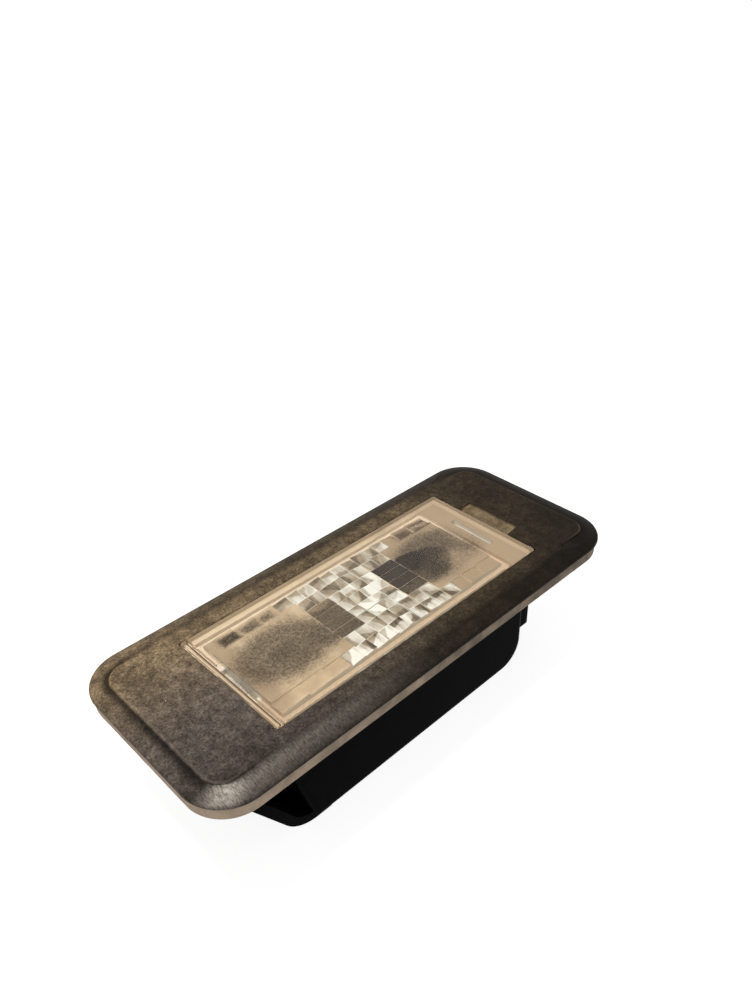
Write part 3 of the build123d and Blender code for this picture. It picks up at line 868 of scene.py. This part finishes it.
@dataclass(frozen=True)
class BlownGlass:
    """The bulb's envelope: clear soda-lime glass, very smooth, with a trace of smoke inside."""

    glass: str = "#EEF0EE"
    smoke: str = "#B9B3A8"
    clouds: Pattern = Pattern(6.0, 2.0, 0.5)
    smoke_amount: Fade = Fade(0.4, 0.75, 0.0, 0.6)
    roughness: float = 0.02
    ior: float = 1.52

    def build(self) -> Material:
        """Builds the material's nodes.

        Returns:
            The finished material.
        """
        material, tree, place = start_material("clear_blown_glass")
        amount = add_node(tree, RANGE, self.smoke_amount.over(add_node(tree, NOISE, self.clouds.at(place))))
        coats = {"Factor": amount, MIX_A: linear(self.glass), MIX_B: linear(self.smoke)}
        return finish_material(
            material,
            {
                "Base Color": add_node(tree, MIX, coats, MIX_RESULT, data_type="RGBA"),
                "Roughness": self.roughness,
                "IOR": self.ior,
                "Transmission Weight": 1.0,
            },
        )


def merged_copy(node: str) -> Mesh:
    """A copy of a solid's mesh with its loose triangles joined, shaded as the solid is.

    Args:
        node: the solid's name.

    Returns:
        The joined copy.
    """
    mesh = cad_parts[node].data.copy()
    kept = mesh.attributes.new("kept_normal", "FLOAT_VECTOR", "CORNER")
    for corner, normal in zip(kept.data, mesh.corner_normals):
        corner.vector = normal.vector
    bm = bmesh.new()
    bm.from_mesh(mesh)
    bmesh.ops.remove_doubles(bm, verts=bm.verts, dist=MERGE_DISTANCE)
    bm.to_mesh(mesh)
    bm.free()
    kept = mesh.attributes["kept_normal"]
    normals = [corner.vector.copy() for corner in kept.data]
    mesh.attributes.remove(kept)
    mesh.normals_split_custom_set(normals)
    mesh.materials.clear()
    return mesh


def place_piece(name: str, mesh: Mesh, node: str) -> bpy.types.Object:
    """Puts a finished mesh in the scene in place of a solid.

    Args:
        name: the piece's name.
        mesh: its mesh, already in the lamp's frame.
        node: the solid that it stands for.

    Returns:
        The new piece.
    """
    mesh.name = name
    piece = bpy.data.objects.new(name, mesh)
    bpy.context.scene.collection.objects.link(piece)
    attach(piece, BODY)
    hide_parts(node)
    return piece


@dataclass
class Housing:
    """The one-piece moulding: the grained flange and the smooth box behind it."""

    flange_finish: GrainedAbs = field(default_factory=GrainedAbs)
    box_finish: SmoothAbs = field(default_factory=SmoothAbs)
    flange_thickness: float = 1.3 * MM
    slack: float = 0.01 * MM

    def build(self) -> Mesh:
        """Copies the solid's mesh and gives its flange and its box their own finishes.

        Returns:
            The moulding's mesh.
        """
        mesh = merged_copy("housing")
        mesh.materials.append(self.flange_finish.build())
        mesh.materials.append(self.box_finish.build())
        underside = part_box("housing")[1].z - self.flange_thickness
        for face in mesh.polygons:
            below = face.center.z < underside + self.slack
            face.material_index = HousingPart.BOX if below else HousingPart.FLANGE
        return mesh

    def dress(self) -> list[bpy.types.Object]:
        """Builds the moulding and lets it stand for its solid."""
        return [place_piece("housing_moulding", self.build(), "housing")]


@dataclass
class Gasket:
    """The foam gasket: a soft ring with rounded, slightly uneven edges."""

    finish: ClosedCellFoam = field(default_factory=ClosedCellFoam)
    spacing: float = 0.45 * MM
    corner: float = 6.6 * MM
    edge_round: float = 0.18 * MM
    edge_steps: int = 4
    bulge: float = 0.04 * MM
    waver: float = 0.1 * MM
    waver_size: float = 1.7 * MM
    clearance: float = 0.02 * MM

    def outline(self, low: Vector, high: Vector) -> list[Vector]:
        """Points round the gasket's outer edge, evenly spaced on its sides and corners.

        Args:
            low: the solid's lowest corner.
            high: the solid's highest corner.

        Returns:
            The points in order, without a repeated end.
        """
        points = []
        arc_steps = round(self.corner * QUARTER_TURN / self.spacing)
        corners = [(high.x, high.y), (low.x, high.y), (low.x, low.y), (high.x, low.y)]
        centres = [
            Vector((x - math.copysign(self.corner, x), y - math.copysign(self.corner, y), 0.0))
            for x, y in corners
        ]
        for quarter, centre in enumerate(centres):
            for step in range(arc_steps):
                angle = QUARTER_TURN * (quarter + step / arc_steps)
                points.append(centre + self.corner * Vector((math.cos(angle), math.sin(angle), 0.0)))
            angle = QUARTER_TURN * (quarter + 1)
            outward = self.corner * Vector((math.cos(angle), math.sin(angle), 0.0))
            start, end = centre + outward, centres[(quarter + 1) % len(centres)] + outward
            run_steps = round((end - start).length / self.spacing)
            points += [start.lerp(end, step / run_steps) for step in range(run_steps)]
        return points

    def build(self) -> Mesh:
        """Lofts the ring from its outer edge, round its soft section, to its inner edge.

        Returns:
            The gasket's mesh.
        """
        low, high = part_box("panel_gasket")
        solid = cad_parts["panel_gasket"].data
        inner = [
            v.co
            for v in solid.vertices
            if abs(v.co.x) < high.x - self.corner and abs(v.co.y) < high.y - self.corner / 2
        ]
        hole_low = Vector((min(p.x for p in inner), min(p.y for p in inner), 0.0))
        hole_high = Vector((max(p.x for p in inner), max(p.y for p in inner), 0.0))
        top = Vector((0.0, 0.0, high.z - self.clearance))
        bottom = Vector((0.0, 0.0, low.z))
        lift = Vector((0.0, 0.0, self.edge_round))
        rows = []
        for point in self.outline(low, high):
            edge = point * min(
                (hole_high.x if point.x > 0 else hole_low.x) / point.x if point.x else math.inf,
                (hole_high.y if point.y > 0 else hole_low.y) / point.y if point.y else math.inf,
            )
            middle = point.lerp(edge, 0.5)
            outward = (point - edge).normalized()
            row = [middle + top, point + top, point + outward * self.bulge + (bottom + top) / 2]
            row += [point + bottom + shift for shift in self.soft_edge(point, outward)]
            row += [middle + bottom, edge + outward * self.edge_round + bottom]
            row += [edge + bottom + lift, edge + top]
            rows.append(row)
        bm = bmesh.new()
        rings = [[bm.verts.new(co) for co in row] for row in rows]
        for ring, following in zip(rings, rings[1:] + rings[:1]):
            for i in range(len(ring)):
                j = (i + 1) % len(ring)
                bm.faces.new((ring[i], ring[j], following[j], following[i]))
        bmesh.ops.recalc_face_normals(bm, faces=bm.faces)
        mesh = bpy.data.meshes.new("foam_gasket")
        bm.to_mesh(mesh)
        bm.free()
        mesh.shade_smooth()
        mesh.materials.append(self.finish.build())
        return mesh

    def soft_edge(self, point: Vector, outward: Vector) -> list[Vector]:
        """The rounded, wavering lower edge at one point of the outline.

        Args:
            point: the point on the outline.
            outward: the direction out of the ring there.

        Returns:
            The shifts from the sharp edge, from the side round to the bottom.
        """
        wave = noise.noise(point / self.waver_size) * self.waver
        shifts = []
        for step in range(self.edge_steps + 1):
            angle = QUARTER_TURN * step / self.edge_steps
            inset = self.edge_round * (1 - math.cos(angle)) - wave / 2
            rise = self.edge_round * (1 - math.sin(angle)) + wave * math.sin(angle)
            shifts.append(Vector((0.0, 0.0, max(rise, 0.0))) - outward * max(inset, 0.0))
        return shifts

    def dress(self) -> list[bpy.types.Object]:
        """Builds the gasket and lets it stand for its solid."""
        return [place_piece("foam_gasket", self.build(), "panel_gasket")]


@dataclass(frozen=True)
class Glitter:
    """How the light painted on a group of prism faces shines: its contrast, and the least and most of its
    mean light.
    """

    contrast: float
    least: float
    most: float

    def draw(self, chance: random.Random) -> tuple[float, float]:
        """The contrast and a mean light for one face."""
        return self.contrast, chance.uniform(self.least, self.most)


@dataclass
class Lens:
    """The prism lens: the solid's own shape, with a painted cut of light for each of its prism faces."""

    finish: DustyAcrylic = field(default_factory=DustyAcrylic)
    window_height: float = 21.0 * MM
    prism_depth: float = 0.9 * MM
    field_half: float = 9.2 * MM
    edge_row_half: float = 12.6 * MM
    edge_row: float = 6.8 * MM
    core_half: float = 4.6 * MM
    core_edge: float = 4.3 * MM
    slack: float = 0.02 * MM
    same_plane: float = math.radians(0.5)
    steep: float = 0.35
    # Painted highlight: upright prism steps get full light, and the steps outside the field the pale step
    # colour.
    upright_light: float = 1.0
    outer_step: float = -1.0
    dull_share: float = 0.25
    dull_core: Glitter = Glitter(0.7, 0.35, 0.6)
    bright_core: Glitter = Glitter(0.8, 0.65, 0.95)
    far_rows: Glitter = Glitter(0.6, 0.3, 0.65)
    near_edge: Glitter = Glitter(1.2, 0.4, 0.82)
    near_rows: Glitter = Glitter(0.7, 0.4, 0.75)
    seed: int = 11

    def in_field(self, centre: Vector) -> bool:
        """Whether a face lies at the height of the prism field."""
        top = self.window_height - self.slack
        return self.window_height - self.prism_depth - self.slack < centre.z < top

    def on_step(self, face: bpy.types.MeshPolygon) -> bool:
        """Whether a face is an upright step of the prism field."""
        return self.in_field(face.center) and abs(face.normal.z) < self.steep

    def on_prism(self, centre: Vector) -> bool:
        """Whether a face belongs to the middle prisms, and not to a window or the plate."""
        reach = self.edge_row_half if abs(centre.y) > self.edge_row else self.field_half
        if not self.in_field(centre) or abs(centre.x) > reach:
            return False
        return abs(centre.y) > self.core_edge or abs(centre.x) < self.core_half

    def glitter(self, centre: Vector, chance: random.Random) -> tuple[float, float]:
        """The contrast and mean light of a prism face, by where it lies.

        Args:
            centre: the middle of the face.
            chance: the source of random numbers.

        Returns:
            A bright face for the core, a sparkling one for the near rows and a dull one for the far rows.
        """
        if abs(centre.x) < self.core_half and abs(centre.y) < self.core_edge:
            dull = centre.x < -self.core_half / 2 or chance.random() < self.dull_share
            group = self.dull_core if dull else self.bright_core
        elif centre.y > 0:
            group = self.far_rows
        else:
            group = self.near_edge if centre.y < -self.edge_row else self.near_rows
        return group.draw(chance)

    def build(self) -> Mesh:
        """Joins the solid's triangles into whole faces and gives each prism face its painted cut of light.

        Returns:
            The lens's mesh.
        """
        mesh = merged_copy("lens")
        bm = bmesh.new()
        bm.from_mesh(mesh)
        bmesh.ops.dissolve_limit(bm, angle_limit=self.same_plane, verts=bm.verts, edges=bm.edges)
        bm.to_mesh(mesh)
        bm.free()
        mesh.attributes.remove(mesh.attributes["custom_normal"])
        mesh.shade_flat()
        place = mesh.attributes.new(CELL_PLACE, "FLOAT_VECTOR", "CORNER")
        cut = mesh.attributes.new(CELL_CUT, "FLOAT_VECTOR", "FACE")
        chance = random.Random(self.seed)
        for face in mesh.polygons:
            inside = self.on_prism(face.center)
            if self.on_step(face):
                cut.data[face.index].vector = (0.0, 0.0, self.upright_light if inside else self.outer_step)
                continue
            if not inside:
                continue
            corners = [mesh.vertices[index].co for index in face.vertices]
            low = [min(co[axis] for co in corners) for axis in (0, 1)]
            size = [max(co[axis] for co in corners) - low[axis] for axis in (0, 1)]
            for loop, co in zip(face.loop_indices, corners):
                across = [(co[axis] - low[axis]) / size[axis] - 0.5 for axis in (0, 1)]
                place.data[loop].vector = (*across, 0.0)
            cut.data[face.index].vector = (chance.uniform(0.0, math.tau), *self.glitter(face.center, chance))
        mesh.materials.append(self.finish.build())
        return mesh

    def dress(self) -> list[bpy.types.Object]:
        """Builds the lens. Lamps shine through it onto its dust film."""
        piece = place_piece("prism_lens", self.build(), "lens")
        piece.visible_shadow = False
        return [piece]


@dataclass
class BulbAndContacts:
    """The festoon bulb between its two spring contacts."""

    glass: BlownGlass = field(default_factory=BlownGlass)
    coil_turns: int = 26
    coil_wire: float = 0.05 * MM
    turn_points: int = 20
    wire_points: int = 8

    def coil_tree(self) -> bpy.types.GeometryNodeTree:
        """The node tree of a coil along X, with named inputs for its sizes.

        Returns:
            The tree, whose result is one plain mesh.
        """
        tree = bpy.data.node_groups.new("filament_coil", "GeometryNodeTree")
        sockets = {name: "Float" for name in ("Length", "Coil Radius", "Wire Radius", "Turns")}
        sockets = {"Geometry": "Geometry", **sockets, "Centre": "Vector", "Finish": "Material"}
        for name, kind in sockets.items():
            tree.interface.new_socket(name, in_out="INPUT", socket_type=f"NodeSocket{kind}")
        tree.interface.new_socket("Geometry", in_out="OUTPUT", socket_type="NodeSocketGeometry")
        sizes = add_node(tree, "NodeGroupInput").node.outputs
        spiral = add_node(
            tree,
            "GeometryNodeCurveSpiral",
            {
                "Resolution": self.turn_points,
                "Rotations": sizes["Turns"],
                "Start Radius": sizes["Coil Radius"],
                "End Radius": sizes["Coil Radius"],
                "Height": sizes["Length"],
            },
        )
        section = add_node(
            tree,
            "GeometryNodeCurvePrimitiveCircle",
            {"Resolution": self.wire_points, "Radius": sizes["Wire Radius"]},
        )
        wire = add_node(
            tree,
            "GeometryNodeCurveToMesh",
            {"Curve": spiral, "Profile Curve": section, "Fill Caps": True},
        )
        half = add_node(tree, MATH, {0: sizes["Length"], 1: -0.5}, operation="MULTIPLY")
        start = add_node(tree, "ShaderNodeCombineXYZ", {"X": half})
        end = add_node(tree, VECTOR, {0: start, 1: sizes["Centre"]}, operation="ADD")
        laid = add_node(
            tree,
            "GeometryNodeTransform",
            {"Geometry": wire, "Translation": end, "Rotation": (0.0, QUARTER_TURN, 0.0)},
        )
        real = add_node(tree, "GeometryNodeRealizeInstances", {"Geometry": laid})
        finished = add_node(
            tree, "GeometryNodeSetMaterial", {"Geometry": real, "Material": sizes["Finish"]}
        )
        add_node(tree, "NodeGroupOutput", {"Geometry": finished})
        return tree

    def build_coil(self, finish: Material) -> Mesh:
        """The filament as a real coil in the place of its solid.

        Args:
            finish: the wire's material.

        Returns:
            The coil's mesh.
        """
        low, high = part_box("bulb_filament")
        values = {
            "Length": high.x - low.x,
            "Coil Radius": (high.z - low.z) / 2 - self.coil_wire,
            "Wire Radius": self.coil_wire,
            "Turns": float(self.coil_turns),
            "Centre": (low + high) / 2,
            "Finish": finish,
        }
        tree = self.coil_tree()
        source = bpy.data.objects.new("coil_source", bpy.data.meshes.new("coil_source"))
        bpy.context.scene.collection.objects.link(source)
        modifier = source.modifiers.new("coil", "NODES")
        modifier.node_group = tree
        for item in tree.interface.items_tree:
            if item.in_out == "INPUT" and item.name in values:
                modifier[item.identifier] = values[item.name]
        seen = source.evaluated_get(bpy.context.evaluated_depsgraph_get())
        mesh = bpy.data.meshes.new_from_object(seen)
        bpy.data.objects.remove(source)
        return mesh

    def dress(self) -> list[bpy.types.Object]:
        """Finishes the contacts and the bulb, and puts the coil in place of the filament's solid."""
        brass, nickel, wire = (metal.build() for metal in (CONTACT_BRASS, CAP_NICKEL, FILAMENT_WIRE))
        finishes = {
            "contact_left": brass,
            "contact_right": brass,
            "bulb_cap_left": nickel,
            "bulb_cap_right": nickel,
            "bulb_lead_left": wire,
            "bulb_lead_right": wire,
            "bulb_glass": self.glass.build(),
        }
        for name, finish in finishes.items():
            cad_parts[name].data.materials[0] = finish
        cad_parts["bulb_glass"].visible_shadow = False
        coil = place_piece("filament_coil", self.build_coil(wire), "bulb_filament")
        return [*(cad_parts[name] for name in finishes), coil]


@dataclass
class Studio:
    """The plain white studio: floor, world, one soft lamp and the camera at the photograph's view."""

    camera_place: Vector = field(default_factory=lambda: Vector((-71.57, -79.27, 110.60)) * MM)
    camera_target: Vector = field(default_factory=lambda: Vector((21.38, 20.42, 20.0)) * MM)
    camera_roll: float = math.radians(-1.74)
    camera_lens: float = 31.735
    camera_sensor: float = 36.0
    camera_nearest: float = 10 * MM
    floor_size: float = 8.0
    floor_height: float = -0.05 * MM
    floor_shade: str = "#9A9A9A"
    floor_glow: float = 0.88
    fill: float = 0.52
    key_from: Vector = field(default_factory=lambda: Vector((-0.22, 0.05, 0.97)))
    key_distance: float = 0.45
    key_size: float = 0.07
    key_power: float = 1.0
    key_colour: str = "#FFF9F2"

    def seen_directly(self, tree: Tree) -> Socket:
        """1 for rays from the camera and for what metal and glass show, 0 for light on surfaces.

        Args:
            tree: the node tree that asks.

        Returns:
            The socket that holds the answer.
        """
        path = add_node(tree, "ShaderNodeLightPath").node.outputs
        seen = path["Is Camera Ray"]
        for name in ("Is Glossy Ray", "Is Transmission Ray"):
            seen = add_node(tree, MATH, {0: seen, 1: path[name]}, operation="MAXIMUM")
        return seen

    def build_floor(self) -> None:
        """A large pale floor that shows white and keeps a faint shadow."""
        bm = bmesh.new()
        bmesh.ops.create_grid(bm, x_segments=1, y_segments=1, size=self.floor_size / 2)
        mesh = bpy.data.meshes.new("studio_floor")
        bm.to_mesh(mesh)
        bm.free()
        floor = bpy.data.objects.new("studio_floor", mesh)
        floor.location.z = self.floor_height
        bpy.context.scene.collection.objects.link(floor)
        material, tree, _ = start_material("white_paper_sweep")
        seen = self.seen_directly(tree)
        paper = {
            "Base Color": linear(self.floor_shade),
            "Roughness": 1.0,
            "Specular IOR Level": 0.0,
            "Emission Color": WHITE,
            "Emission Strength": add_node(tree, MATH, {0: seen, 1: self.floor_glow}, operation="MULTIPLY"),
        }
        mesh.materials.append(finish_material(material, paper))

    def build_world(self) -> None:
        """A white world that lights the lamp only by its fill strength."""
        world = bpy.data.worlds.new("white_studio")
        world.use_nodes = True
        tree = world.node_tree
        tree.nodes.clear()
        strength = add_node(tree, RANGE, {"Value": self.seen_directly(tree), "To Min": self.fill})
        sky = add_node(tree, "ShaderNodeBackground", {"Color": WHITE, "Strength": strength})
        add_node(tree, "ShaderNodeOutputWorld", {"Surface": sky})
        bpy.context.scene.world = world

    def build_lamp(self) -> None:
        """One soft warm lamp overhead, a little towards the latch end."""
        light = bpy.data.lights.new("key_lamp", "AREA")
        light.shape = "DISK"
        light.size = self.key_size
        light.energy = self.key_power
        light.color = linear(self.key_colour)[:3]
        lamp = bpy.data.objects.new("key_lamp", light)
        direction = self.key_from.normalized()
        lamp.location = Vector((0.0, 0.0, cad_bounds[1].z)) + direction * self.key_distance
        lamp.rotation_euler = direction.to_track_quat("Z", "Y").to_euler()
        bpy.context.scene.collection.objects.link(lamp)

    def build_camera(self) -> None:
        """The camera at the photograph's place, direction, roll and field of view."""
        data = bpy.data.cameras.new("photo_view")
        data.sensor_fit = "VERTICAL"
        data.sensor_height = self.camera_sensor
        data.lens = self.camera_lens
        data.clip_start = self.camera_nearest
        camera = bpy.data.objects.new("photo_view", data)
        turn = (self.camera_target - self.camera_place).to_track_quat("-Z", "Y")
        roll = Quaternion((0.0, 0.0, 1.0), self.camera_roll)
        camera.matrix_world = Matrix.LocRotScale(self.camera_place, turn @ roll, None)
        bpy.context.scene.collection.objects.link(camera)
        bpy.context.scene.camera = camera

    def build(self) -> None:
        """Builds the whole studio."""
        bpy.context.scene.view_settings.view_transform = "Standard"
        self.build_floor()
        self.build_world()
        self.build_lamp()
        self.build_camera()


def main() -> None:
    """Builds the lamp's sub-assemblies in order, then the studio round it."""
    logging.basicConfig(level=logging.INFO)
    for assembly in (Housing(), Gasket(), Lens(), BulbAndContacts()):
        for piece in assembly.dress():
            log.info("%s: %d faces", piece.name, len(piece.data.polygons))
    Studio().build()


if __name__ == "__main__":
    main()
